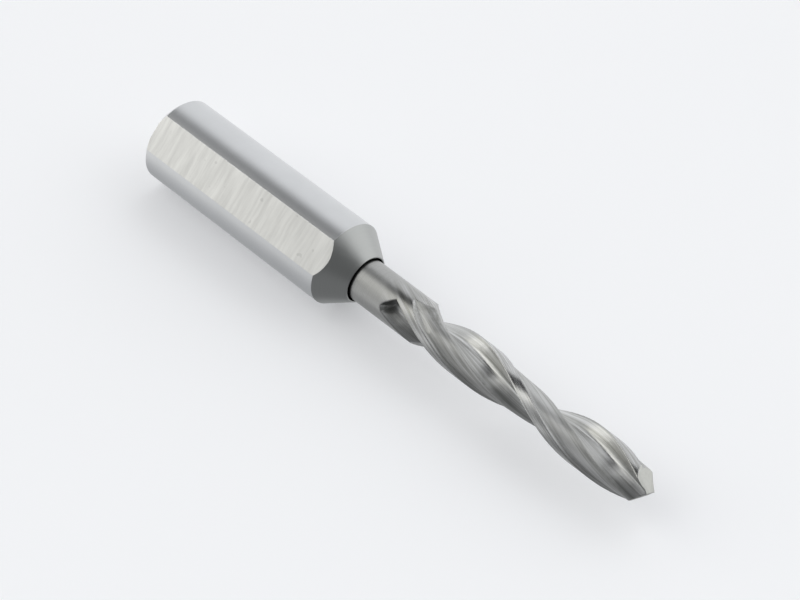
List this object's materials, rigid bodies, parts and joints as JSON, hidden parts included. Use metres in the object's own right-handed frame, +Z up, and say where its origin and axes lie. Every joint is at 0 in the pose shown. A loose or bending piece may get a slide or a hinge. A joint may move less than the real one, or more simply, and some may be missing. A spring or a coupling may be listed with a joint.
{
  "type": "dowel drill bit",
  "caption": "Dowel drill bit: a fluted carbide drill set in a round steel shank with a clamping flat and a screw that sets its length.",
  "frame": {"origin": "on the axis at the shank's back face", "axes": "+X along the axis towards the point, +Z up as the bit lies level on its shank"},
  "size_m": [0.07, 0.01, 0.01],
  "materials": {
    "shank_steel": "satin turned steel",
    "carbide": "ground carbide",
    "screw_steel": "black oxide"
  },
  "bodies": {
    "bit": {"shank": "shank_steel", "drill": "carbide"},
    "stop": {"adjusting_screw": "screw_steel"}
  },
  "joints": [
    {"name": "length_adjustment", "type": "slide", "parent": "bit", "child": "stop", "axis": [-1, 0, 0], "range_m": [-0.002, 0.0033]}
  ]
}
